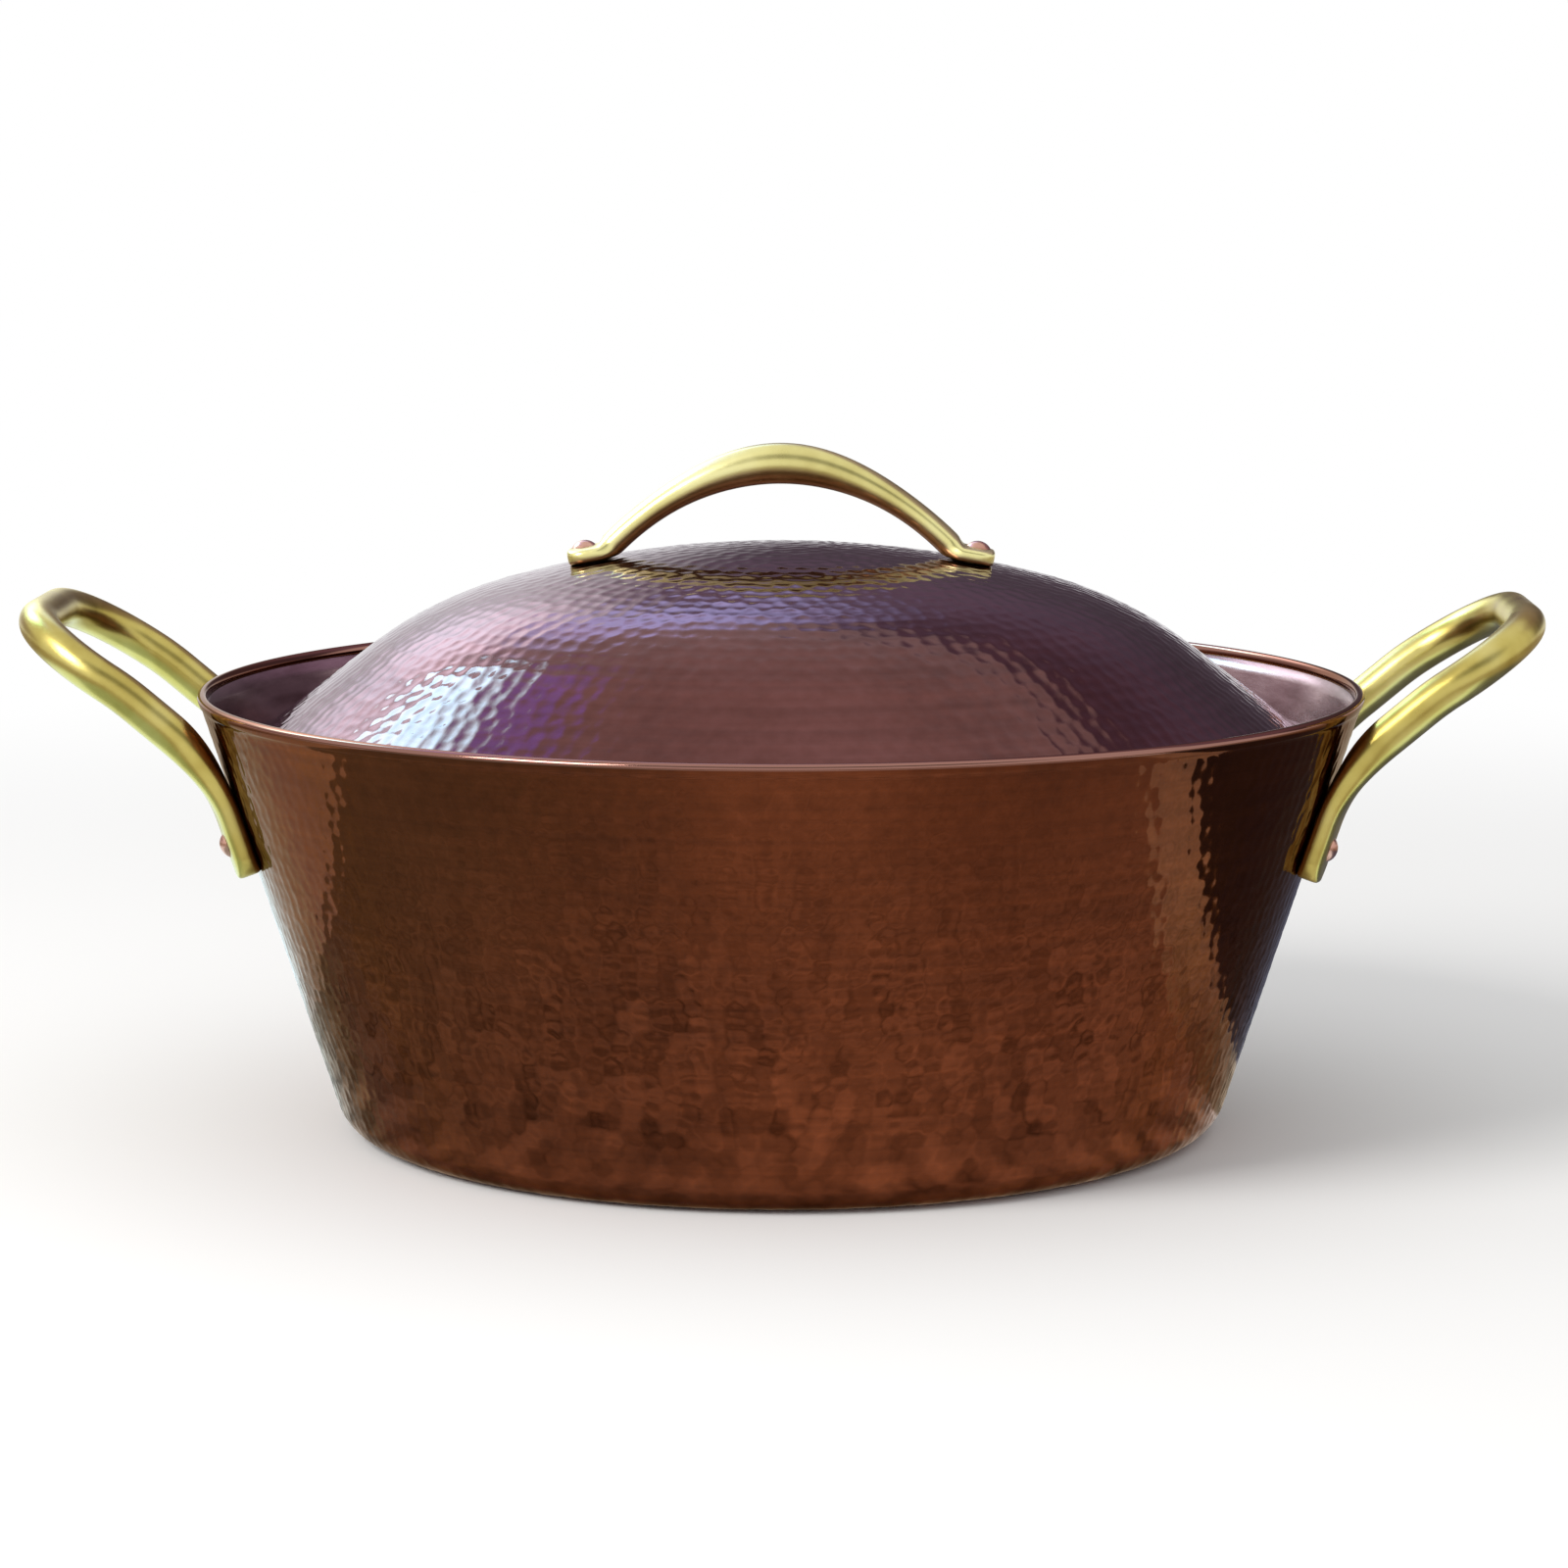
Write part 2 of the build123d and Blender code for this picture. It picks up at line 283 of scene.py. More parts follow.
def noise(tree, place, scale, detail=3.0, stretch=(1, 1, 1)):
    """A noise of this scale on the piece's own coordinates, from 0 to 1."""
    mapped = node(tree, "ShaderNodeMapping", {"Vector": place, "Scale": stretch}).outputs[0]
    grain = {"Vector": mapped, "Scale": scale, "Detail": detail}
    return node(tree, "ShaderNodeTexNoise", grain).outputs[0]


def spread(tree, value, low, high):
    """Maps a value from 0..1 to low..high."""
    span = {"Value": value, "To Min": low, "To Max": high}
    return node(tree, "ShaderNodeMapRange", span).outputs[0]


ground_card, tree = new_material("ground_card")
place = own_place(tree)
away = length(tree, place)
across = axes(tree, place)["X"]
behind = math(tree, "SUBTRACT", axes(tree, place)["Y"], ground_offset)
behind = math(tree, "MULTIPLY_ADD", math(tree, "ABSOLUTE", across), ground_slant, behind)
front = blended(tree, crossing(tree, across, *left_to_middle), front_left, front_middle)
front = blended(tree, crossing(tree, across, *middle_to_right), front, front_right)
# Painted lit floor at both sides, darker towards the pot's foot
bright = blended(tree, crossing(tree, away, *foot_to_side), painted_floor_near_pot, painted_lit_floor)
left_side = blended(tree, crossing(tree, behind, *left_bright_from), front, bright)
right_side = blended(tree, crossing(tree, behind, *right_bright_from), front, bright)
# Painted shadow of the pot at the right limb
in_shade = crossing(tree, behind, *limb_from)
in_shade = math(tree, "MULTIPLY", in_shade, crossing(tree, across, *limb_grows))
right_side = blended(tree, in_shade, right_side, painted_limb_shadow)
colour = blended(tree, math(tree, "GREATER_THAN", across, 0), left_side, right_side)
colour = blended(tree, crossing(tree, away, *ground_to_far), colour, far_ground)
# Painted contact shade under the pot
colour = blended(tree, crossing(tree, away, *pot_to_ground), painted_contact_shade, colour)
contrast = spread(tree, crossing(tree, away, *pebbles_calm), *pebble_contrast)
pebbles = math(tree, "SUBTRACT", noise(tree, place, pebble_scale, detail=2.0), 0.5)
pebbled = math(tree, "MULTIPLY_ADD", pebbles, contrast, 1)
glow = node(tree, "ShaderNodeEmission", {"Color": colour, "Strength": pebbled})
node(tree, "ShaderNodeOutputMaterial", {"Surface": glow.outputs[0]})
ground = plain_card("ground_card", ground_card)
ground_shape = Matrix.Diagonal((*ground_size, 1, 1))
ground.data.transform(Matrix.Translation((0, 0, ground_lift)) @ ground_shape)


# The pot: one copper sheet raised to a flat-bottomed bowl with a leaning wall
# and a thickened rim, planished all over its outside with a round-faced hammer
# in ring after ring of blows, and coloured to a dark, glossy red-brown.
mouth_radius = 0.1200
foot_radius = 0.0905
pot_height = 0.0910
sheet = 0.0016
lining = 0.00015
foot_round = 0.0080
rim_size = 0.0020
rim_round = 0.0008
neck_drop = rim_round / 3
wall_lean = atan((mouth_radius - foot_radius) / pot_height)
wall_up = Vector((sin(wall_lean), cos(wall_lean)))
wall_out = Vector((cos(wall_lean), -sin(wall_lean)))


def wall_point(height, depth):
    """Point of the wall's section at a height, this deep under the outside."""
    radius = foot_radius + height * tan(wall_lean) - depth / cos(wall_lean)
    return Vector((radius, height))


def straight(start, end, step):
    """Points from start up to but not including end, about a step apart."""
    count = max(1, round((end - start).length / step))
    return [start.lerp(end, share / count) for share in range(count)]


def rounded(before, corner, after, radius, step):
    """Points of the arc that rounds a corner between two straight runs."""
    back = (before - corner).normalized()
    on = (after - corner).normalized()
    half = back.angle(on) / 2
    centre = corner + (back + on).normalized() * radius / sin(half)
    start = corner + back * radius / tan(half) - centre
    end = corner + on * radius / tan(half) - centre
    sweep = pi - 2 * half
    count = max(2, round(radius * sweep / step))
    points = []
    for number in range(count + 1):
        share = number / count
        mixed = start * sin((1 - share) * sweep) + end * sin(share * sweep)
        points.append(centre + mixed / sin(sweep))
    return points


def run_length(points):
    """Length of the line through these points."""
    return sum((b - a).length for a, b in zip(points, points[1:]))


wall_step = 0.00078
wall_spacing = 0.00092
coarse_step = 0.030
rim_step = 0.0004
planished_from = foot_radius - foot_round
flat_border = 0.0002
rim_middle = wall_point(pot_height - rim_size / 2, sheet / 2)
rim_half = rim_size / 2
rim_low_out = rim_middle + (wall_out - wall_up) * rim_half
rim_high_out = rim_middle + (wall_out + wall_up) * rim_half
rim_high_in = rim_middle + (wall_up - wall_out) * rim_half
rim_low_in = rim_middle - (wall_up + wall_out) * rim_half
neck_out = wall_point(rim_low_out.y - neck_drop, 0)
neck_in = wall_point(rim_low_in.y - neck_drop, sheet - lining)
foot_corner = Vector((foot_radius, 0))
centre_low = Vector((0, 0))
floor_low = Vector((0, sheet - lining))
floor_corner = wall_point(floor_low.y, sheet - lining)

foot_arc = rounded(centre_low, foot_corner, neck_out, foot_round, wall_step)
floor_arc = rounded(neck_in, floor_corner, floor_low, foot_round - sheet, coarse_step)
rim_arc = rounded(neck_out, rim_low_out, rim_high_out, rim_round, rim_step)
rim_arc += rounded(rim_low_out, rim_high_out, rim_high_in, rim_round, rim_step)
rim_arc += rounded(rim_high_out, rim_high_in, rim_low_in, rim_round, rim_step)
rim_arc += rounded(rim_high_in, rim_low_in, neck_in, rim_round, rim_step)
flat_end = Vector((planished_from - flat_border, 0))
pot_section = straight(centre_low, flat_end, coarse_step)
pot_section += straight(flat_end, foot_arc[0], wall_step) + foot_arc
pot_section += straight(foot_arc[-1], neck_out, wall_step)[1:]
planished_to = run_length(pot_section)
pot_section += [neck_out] + rim_arc + straight(neck_in, floor_arc[0], coarse_step)
pot_section += floor_arc + straight(floor_arc[-1], floor_low, coarse_step)[1:] + [floor_low]


# The blows lie as in a honeycomb: row_share and cell_reach are shares of their
# spacing. Past its cell's reach a dimple's edge rises, out to ridge_share of it.
row_share = sqrt(3) / 2
cell_reach = 1 / sqrt(3)
ridge_share = 1.3
lightest_blow = 0.7
blow_variety = 0.6


def scaled(tree, vector, factor):
    """A vector made this many times as long."""
    sizes = {0: vector, "Scale": factor}
    return node(tree, "ShaderNodeVectorMath", sizes, operation="SCALE").outputs[0]


def planished_sheet_tree():
    """Beats rings of shallow dimples into a sheet that was spun from a section."""
    tree = bpy.data.node_groups.new("planished sheet", "GeometryNodeTree")
    sockets = (
        ("Smooth Sheet", "NodeSocketGeometry"),
        ("Section", "NodeSocketObject"),
        ("Planish From", "NodeSocketFloat"),
        ("Planish To", "NodeSocketFloat"),
        ("Blow Spacing", "NodeSocketFloat"),
        ("Blow Depth", "NodeSocketFloat"),
        ("Wander", "NodeSocketFloat"),
        ("Seed", "NodeSocketInt"),
        ("Finish", "NodeSocketMaterial"),
    )
    for name, kind in sockets:
        tree.interface.new_socket(name, in_out="INPUT", socket_type=kind)
    tree.interface.new_socket("Sheet", in_out="OUTPUT", socket_type="NodeSocketGeometry")
    given = node(tree, "NodeGroupInput").outputs

    here = node(tree, "GeometryNodeInputPosition").outputs[0]
    section = node(tree, "GeometryNodeObjectInfo", {0: given["Section"]}).outputs["Geometry"]

    # The blows: rings of points a blow apart, each ring started at its own angle
    stretch = node(
        tree,
        "GeometryNodeTrimCurve",
        {"Curve": section, 4: given["Planish From"], 5: given["Planish To"]},
        mode="LENGTH",
    ).outputs[0]
    row_spacing = math(tree, "MULTIPLY", given["Blow Spacing"], row_share)
    starts = node(
        tree, "GeometryNodeCurveToPoints", {"Curve": stretch, "Length": row_spacing}, mode="LENGTH"
    ).outputs["Points"]
    girth = math(tree, "MULTIPLY", axes(tree, here)["X"], 2 * pi)
    around = math(tree, "DIVIDE", girth, given["Blow Spacing"])
    around = math(tree, "MAXIMUM", math(tree, "ROUND", around), 1)
    copied = node(
        tree,
        "GeometryNodeDuplicateElements",
        {"Geometry": starts, "Amount": around},
        domain="POINT",
    ).outputs
    phase = node(tree, "ShaderNodeTexWhiteNoise", {"Vector": here}).outputs["Value"]
    share = math(tree, "DIVIDE", math(tree, "ADD", copied["Duplicate Index"], phase), around)
    ringed = node(
        tree,
        "ShaderNodeVectorRotate",
        {"Vector": here, "Angle": math(tree, "MULTIPLY", share, 2 * pi)},
        rotation_type="Z_AXIS",
    ).outputs[0]
    stray = node(
        tree,
        "FunctionNodeRandomValue",
        {0: (-1, -1, -1), 1: (1, 1, 1), "Seed": given["Seed"]},
        data_type="FLOAT_VECTOR",
    ).outputs[0]
    stray = scaled(tree, stray, math(tree, "MULTIPLY", given["Wander"], given["Blow Spacing"]))
    blows = node(
        tree,
        "GeometryNodeSetPosition",
        {"Geometry": copied["Geometry"], "Position": ringed, "Offset": stray},
    ).outputs[0]

    # Each blow sinks a shallow round dimple, and its neighbours' edges meet it
    struck = node(tree, "GeometryNodeInputNamedAttribute", {0: "struck"}, data_type="BOOLEAN")
    struck = struck.outputs[0]
    nearest = node(tree, "GeometryNodeProximity", {0: blows}, target_element="POINTS").outputs
    reach = math(tree, "MULTIPLY", given["Blow Spacing"], cell_reach)
    share = math(tree, "DIVIDE", nearest["Distance"], reach)
    share = math(tree, "MINIMUM", share, ridge_share)
    bowl = math(tree, "SUBTRACT", 1, math(tree, "POWER", share, 2))
    force = node(tree, "ShaderNodeTexWhiteNoise", {"Vector": nearest["Position"]}).outputs["Value"]
    force = math(tree, "MULTIPLY_ADD", force, blow_variety, lightest_blow)
    sink = math(tree, "MULTIPLY", math(tree, "MULTIPLY", bowl, force), given["Blow Depth"])
    normal = node(tree, "GeometryNodeInputNormal").outputs[0]
    inward = scaled(tree, normal, math(tree, "MULTIPLY", sink, -1))
    beaten = node(
        tree,
        "GeometryNodeSetPosition",
        {"Geometry": given["Smooth Sheet"], "Selection": struck, "Offset": inward},
    )
    smooth = node(tree, "GeometryNodeSetShadeSmooth", {"Geometry": beaten.outputs[0]})
    real = node(tree, "GeometryNodeRealizeInstances", {"Geometry": smooth.outputs[0]})
    finished = {"Geometry": real.outputs[0], "Material": given["Finish"]}
    coated = node(tree, "GeometryNodeSetMaterial", finished)
    node(tree, "NodeGroupOutput", {0: coated.outputs[0]})
    return tree


sheet_tree = planished_sheet_tree()
smooth_columns = 300
fewest_columns = 6


def zipped(first, second):
    """Triangles between two rings of vertices, each given as (turn, vertex) pairs.
    A ring of one vertex, on the axis, has no step of its own."""
    faces = []
    a = 1 if len(first) == 1 else 0
    b = 1 if len(second) == 1 else 0
    while a < len(first) or b < len(second):
        here, there = first[a % len(first)][1], second[b % len(second)][1]
        next_a = (a + 1) // len(first) + first[(a + 1) % len(first)][0]
        next_b = (b + 1) // len(second) + second[(b + 1) % len(second)][0]
        if b >= len(second) or (a < len(first) and next_a <= next_b):
            faces.append((here, first[(a + 1) % len(first)][1], there))
            a += 1
        else:
            faces.append((here, second[(b + 1) % len(second)][1], there))
            b += 1
    return faces


def spun(name, section, spacing, fine_from, fine_to):
    """A closed sheet: the section turned about Z, with vertices about the spacing
    apart over its planished run and fewer elsewhere."""
    vertices = []
    rings = []
    struck = []
    run = 0.0
    for number, place in enumerate(section):
        run += (place - section[max(number, 1) - 1]).length
        fine = fine_from <= run <= fine_to
        count = max(fewest_columns, round(2 * pi * place.x / spacing))
        if not fine:
            count = min(count, smooth_columns)
        on_axis = place.x < spacing / 10
        if on_axis:
            count = 1
        ring = []
        for step in range(count):
            share = (step + number % 2 / 2) / count
            turn = 2 * pi * share
            ring.append((share, len(vertices)))
            vertices.append((place.x * cos(turn), place.x * sin(turn), place.y))
            struck.append(fine)
        rings.append(ring)
    faces = []
    for first, second in zip(rings, rings[1:]):
        faces += zipped(first, second)
    mesh = bpy.data.meshes.new(name)
    mesh.from_pydata(vertices, [], faces)
    mesh.attributes.new("struck", "BOOLEAN", "POINT").data.foreach_set("value", struck)
    return new_object(name, mesh)


def planished(name, section, spacing, finish, **sizes):
    """A plain mesh object: the section spun, then planished by the tree above."""
    curve = bpy.data.curves.new(name + "_section", "CURVE")
    curve.dimensions = "3D"
    line = curve.splines.new("POLY")
    line.points.add(len(section) - 1)
    for point, place in zip(line.points, section):
        point.co = (place.x, 0, place.y, 1)
    guide = new_object(name + "_section", curve)
    smooth = spun(name + "_smooth", section, spacing, sizes["planish_from"], sizes["planish_to"])
    modifier = smooth.modifiers.new("planish", "NODES")
    modifier.node_group = sheet_tree
    named = {item.name: item.identifier for item in sheet_tree.interface.items_tree}
    modifier[named["Section"]] = guide
    modifier[named["Finish"]] = finish
    for size, value in sizes.items():
        modifier[named[size.replace("_", " ").title()]] = value
    smooth.update_tag()
    beaten = smooth.evaluated_get(bpy.context.evaluated_depsgraph_get())
    mesh = bpy.data.meshes.new_from_object(beaten)
    mesh.name = name
    mesh.attributes.remove(mesh.attributes["struck"])
    bpy.data.objects.remove(smooth)
    bpy.data.objects.remove(guide)
    return new_object(name, mesh)


def spun_smooth(name, section, spacing, finish):
    """A plain mesh object: the section spun, with nothing beaten into it."""
    piece = spun(name, section, spacing, 0, 0)
    piece.data.attributes.remove(piece.data.attributes["struck"])
    piece.data.shade_smooth()
    piece.data.materials.append(finish)
    return piece


def principled(tree, **sockets):
    """Gives a material a Principled shader with these sockets, such as base_color."""
    named = {key.replace("_", " ").title(): value for key, value in sockets.items()}
    shader = node(tree, "ShaderNodeBsdfPrincipled", named)
    node(tree, "ShaderNodeOutputMaterial", {"Surface": shader.outputs[0]})


def ramp(tree, value, *stops):
    """A colour ramp through these (place, colour) stops."""
    made = node(tree, "ShaderNodeValToRGB", {0: value})
    elements = made.color_ramp.elements
    elements.remove(elements[1])
    elements[0].position, elements[0].color = stops[0][0], (*stops[0][1], 1)
    for place, colour in stops[1:]:
        elements.new(place).color = (*colour, 1)
    return made.outputs[0]


def relief(tree, strength, depth, height):
    """The normals of a fine relief that is this deep."""
    sizes = {"Strength": strength, "Distance": depth, "Height": height}
    return node(tree, "ShaderNodeBump", sizes).outputs[0]


cloud_share = 0.70
bare_rim = (0.30, 0.145, 0.115, 1)
bare_edge = 0.0003


def patinated_copper(name, dark, middle, light, limb, bare_above=None):
    """Copper bronzed to a dark, glossy brown: cloudy heat colours, faint wiping
    marks round the pot, a tint seen at its limbs, and metal rubbed bare above a height."""
    material, tree = new_material(name)
    place = own_place(tree)
    clouds = math(tree, "MULTIPLY", noise(tree, place, 16.0, detail=5.0), cloud_share)
    mottle = noise(tree, place, 320.0)
    mixed = math(tree, "MULTIPLY_ADD", mottle, 1 - cloud_share, clouds)
    colour = ramp(tree, mixed, (0.36, dark), (0.5, middle), (0.66, light))
    if bare_above:
        height = axes(tree, place)["Z"]
        bare = crossing(tree, height, bare_above, bare_above + bare_edge)
        colour = blended(tree, bare, colour, bare_rim)
    wiping = noise(tree, place, 30.0, stretch=(0.25, 0.25, 24))
    wiped = spread(tree, wiping, 0.72, 1.28)
    grain = noise(tree, place, 2600.0, detail=2.0)
    principled(
        tree,
        base_color=scaled(tree, colour, wiped),
        metallic=1.0,
        roughness=spread(tree, noise(tree, place, 70.0, detail=4.0), 0.05, 0.13),
        specular_tint=(*limb, 1),
        coat_weight=0.15,
        coat_roughness=0.05,
        normal=relief(tree, 0.10, 0.00002, grain),
    )
    return material


pot_copper = patinated_copper(
    "pot_copper",
    dark=(0.072, 0.016, 0.0035),
    middle=(0.099, 0.022, 0.005),
    light=(0.130, 0.030, 0.008),
    limb=(0.62, 0.50, 0.42),
    bare_above=0.0897,
)
pot = planished(
    "copper_pot",
    pot_section,
    wall_spacing,
    pot_copper,
    planish_from=planished_from,
    planish_to=planished_to,
    blow_spacing=0.0036,
    blow_depth=0.00010,
    wander=0.18,
    seed=3,
)
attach(pot, "pot")
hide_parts("pot_body")


# The tin lining: a thin coat of tin, wiped while hot over the inside of the pot
# and its floor, up to just under the rim. Its back lies a little inside the copper.
lining_top = pot_height - rim_size
lining_step = 0.0028
lining_overlap = 0.00006
back_depth = sheet - lining - lining_overlap
tin_wall_top = wall_point(lining_top, sheet)
tin_floor = Vector((0, sheet))
tin_corner = wall_point(sheet, sheet)
back_wall_top = wall_point(lining_top, back_depth)
back_floor = Vector((0, back_depth))
back_corner = wall_point(back_depth, back_depth)
tin_arc = rounded(tin_wall_top, tin_corner, tin_floor, foot_round - sheet, lining_step)
back_arc = rounded(back_floor, back_corner, back_wall_top, foot_round - sheet, lining_step)
tin_section = straight(back_floor, back_arc[0], lining_step) + back_arc
tin_section += straight(back_arc[-1], back_wall_top, lining_step)[1:] + [back_wall_top]
tin_section += straight(tin_wall_top, tin_arc[0], lining_step) + tin_arc
tin_section += straight(tin_arc[-1], tin_floor, lining_step)[1:] + [tin_floor]

tin_dark = (0.22, 0.125, 0.13)
tin_middle = (0.35, 0.225, 0.24)
tin_light = (0.49, 0.34, 0.355)
tin, tree = new_material("wiped_tin")
place = own_place(tree)
wiping = noise(tree, place, 45.0, detail=4.0, stretch=(1, 1, 5))
principled(
    tree,
    base_color=ramp(tree, wiping, (0.35, tin_dark), (0.52, tin_middle), (0.7, tin_light)),
    metallic=1.0,
    roughness=spread(tree, noise(tree, place, 160.0), 0.14, 0.26),
    normal=relief(tree, 0.4, 0.00006, noise(tree, place, 420.0, stretch=(1, 1, 3))),
)
tin_lining = spun_smooth("tin_lining", tin_section, lining_step, tin)
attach(tin_lining, "pot")


# The side handles: round brass rod, bent to a loop and polished by hand. Both ends
# are forged to flat feet that lie on the wall, each held by one rivet.
loop_rod = 0.0080
leg_spacing = 0.0600
side_rivet_drop = 0.0280
side_foot_width = 0.0104
side_foot_thickness = 0.0048
side_foot_end = 0.0072
side_foot_corner = 0.0042
foot_corner_steps = 12
foot_edge_bite = 0.00005
foot_edge_round = 0.0008
round_fullness = 2
foot_fullness = 3.6
knee_above_rivet = 0.0162
knee_radius = 0.0400
leg_tilt = radians(40.0)
leg_run = 0.0230
shoulder_bend = 0.0600
grip_out = 0.03747
grip_up = 0.02777
grip_round = 0.0200
rod_step = 0.0009
rod_points = 48


def polished_brass(name, dark, middle, light):
    """Yellow brass, polished by hand: fine scratches and a little tarnish."""
    material, tree = new_material(name)
    place = own_place(tree)
    tarnish = noise(tree, place, 55.0, detail=4.0)
    scratches = noise(tree, place, 900.0, stretch=(0.25, 1, 1))
    principled(
        tree,
        base_color=ramp(tree, tarnish, (0.32, dark), (0.5, middle), (0.72, light)),
        metallic=1.0,
        roughness=spread(tree, noise(tree, place, 220.0), 0.24, 0.36),
        normal=relief(tree, 0.35, 0.00003, scratches),
    )
    return material


def smooth_share(value, low, high):
    """Rises smoothly from 0 to 1 as the value goes from low to high."""
    share = min(1, max(0, (value - low) / (high - low)))
    return share * share * (3 - 2 * share)


def outline(centre, across, through, width, thickness, fullness):
    """One section of a bar: an ellipse at the round fullness, squarer above it."""
    ring = []
    for step in range(rod_points):
        turn = 2 * pi * step / rod_points
        wide = copysign(abs(cos(turn)) ** (2 / fullness), cos(turn)) * width / 2
        thick = copysign(abs(sin(turn)) ** (2 / fullness), sin(turn)) * thickness / 2
        ring.append(centre + across * wide + through * thick)
    return ring


def foot_stations(start, end, corner):
    """Points from start to a foot's end, closer together round its corners."""
    back = (start - end).normalized()
    turns = [pi / 2 * step / foot_corner_steps for step in range(foot_corner_steps + 1)]
    rounding = [end + back * corner * (1 - sin(turn)) for turn in turns]
    return straight(start, rounding[0], rod_step) + rounding


def rounded_foot(to_end, width, thickness, corner):
    """Width and thickness this far from a foot's end, which is rounded both ways."""
    if to_end < corner:
        width += 2 * (sqrt(corner**2 - (corner - to_end) ** 2) - corner)
    if to_end < foot_edge_round:
        inset = foot_edge_round - to_end
        thickness += 2 * (sqrt(foot_edge_round**2 - inset**2) - foot_edge_round)
    return width, thickness


def stations(route, lead_in):
    """Each point of half a bar's route, with the run to it and its direction there.
    The bar comes to the first point, its middle, along lead_in."""
    run = 0.0
    for number, place in enumerate(route):
        run += (place - route[max(number, 1) - 1]).length
        before = route[number - 1] if number else place - lead_in
        after = route[min(number + 1, len(route) - 1)]
        yield run, place, (after - before).normalized()


def flipped(rings, x, y):
    """The same sections, turned over to the side that the signs x and y give."""
    return [[Vector((x * p.x, y * p.y, p.z)) for p in ring] for ring in rings]


def forged_bar(name, rings, finish):
    """A closed bar through these sections, from the end of one foot to the other's."""
    made = bmesh.new()
    rows = [[made.verts.new(place) for place in ring] for ring in rings]
    for row, after in zip(rows, rows[1:]):
        for step in range(rod_points):
            ahead = (step + 1) % rod_points
            made.faces.new((row[step], row[ahead], after[ahead], after[step]))
    made.faces.new(rows[0])
    made.faces.new(rows[-1])
    bmesh.ops.recalc_face_normals(made, faces=made.faces)
    mesh = bpy.data.meshes.new(name)
    made.to_mesh(mesh)
    made.free()
    mesh.shade_smooth()
    mesh.materials.append(finish)
    return new_object(name, mesh)


def side_handle_rings():
    """Sections of the right handle, from its front foot round the loop to its back."""
    seat_z = pot_height - side_rivet_drop
    wall_radius = wall_point(seat_z, 0).x
    sagitta = wall_radius - sqrt(wall_radius**2 - (side_foot_width / 2) ** 2)
    foot_middle = side_foot_thickness / 2 - sagitta - foot_edge_bite
    turn = asin(leg_spacing / 2 / (wall_radius + foot_middle * cos(wall_lean)))
    seat = Vector((wall_radius * cos(turn), wall_radius * sin(turn), seat_z))
    normal = Vector((cos(wall_lean) * cos(turn), cos(wall_lean) * sin(turn), -sin(wall_lean)))
    foot_up = Vector((tan(wall_lean) / cos(turn), 0, 1)).normalized()
    foot_across = foot_up.cross(normal)
    foot_centre = seat + normal * foot_middle
    foot_end = foot_centre - foot_up * side_foot_end
    knee = foot_centre + foot_up * knee_above_rivet
    shoulder = knee + Vector((cos(leg_tilt), 0, sin(leg_tilt))) * leg_run
    grip_corner = knee + Vector((grip_out, 0, grip_up))
    grip_middle = Vector((grip_corner.x, 0, grip_corner.z))

    corner_arc = rounded(grip_middle, grip_corner, shoulder, grip_round, rod_step)
    shoulder_arc = rounded(grip_corner, shoulder, knee, shoulder_bend, rod_step)
    knee_arc = rounded(shoulder, knee, foot_end, knee_radius, rod_step)
    grip = straight(grip_middle, corner_arc[0], rod_step) + corner_arc
    leg = straight(corner_arc[-1], shoulder_arc[0], rod_step)[1:] + shoulder_arc
    leg += straight(shoulder_arc[-1], knee_arc[0], rod_step)[1:]
    route = grip + leg + knee_arc
    route += foot_stations(knee_arc[-1], foot_end, side_foot_corner)[1:]

    grip_line = (grip_corner - shoulder).normalized()
    loop_normal = Vector((-grip_line.z, 0, grip_line.x))
    knee_from = run_length(grip + leg)
    knee_to = knee_from + run_length(knee_arc)
    whole = run_length(route)
    half = []
    for run, place, along in stations(route, Vector((0, 1, 0))):
        share = smooth_share(run, knee_from, knee_to)
        if len(half) < len(grip):
            across = loop_normal.cross(along)
        else:
            across = Vector((0, -1, 0)).lerp(-foot_across, share)
            across = (across - along * across.dot(along)).normalized()
        width, thickness = rounded_foot(
            whole - run,
            loop_rod + (side_foot_width - loop_rod) * share,
            loop_rod + (side_foot_thickness - loop_rod) * share,
            side_foot_corner,
        )
        fullness = round_fullness + (foot_fullness - round_fullness) * share
        ring = outline(place, across, along.cross(across), width, thickness, fullness)

        # The foot's underside is dressed to the round of the wall
        for point in ring:
            wall = wall_point(point.z, 0).x / hypot(point.x, point.y)
            if share > 0 and wall > 1:
                point.x *= wall
                point.y *= wall
        half.append(ring)
    return flipped(half[:0:-1], 1, -1) + half


handled_brass = polished_brass(
    "handled_brass",
    dark=(0.38, 0.28, 0.055),
    middle=(0.56, 0.46, 0.13),
    light=(0.70, 0.61, 0.24),
)
right_rings = side_handle_rings()
for side, rings in (("left", flipped(right_rings, -1, -1)), ("right", right_rings)):
    side_handle = forged_bar(side + "_side_handle", rings, handled_brass)
    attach(side_handle, "pot")
    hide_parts(side + "_handle")


# The rivets: soft bright copper, four through the wall and two through the lid, each
# hammered over to a low dome on its brass foot and to a flat tail on the inside.
rivet_dark = (0.46, 0.22, 0.16)
rivet_light = (0.70, 0.42, 0.33)
rivet_copper, tree = new_material("rivet_copper")
place = own_place(tree)
principled(
    tree,
    base_color=ramp(tree, noise(tree, place, 300.0), (0.3, rivet_dark), (0.7, rivet_light)),
    metallic=1.0,
    roughness=0.26,
    normal=relief(tree, 0.5, 0.00005, noise(tree, place, 900.0)),
)
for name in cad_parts:
    if name.endswith("_rivet"):
        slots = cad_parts[name].data.materials
        slots.clear()
        slots.append(rivet_copper)


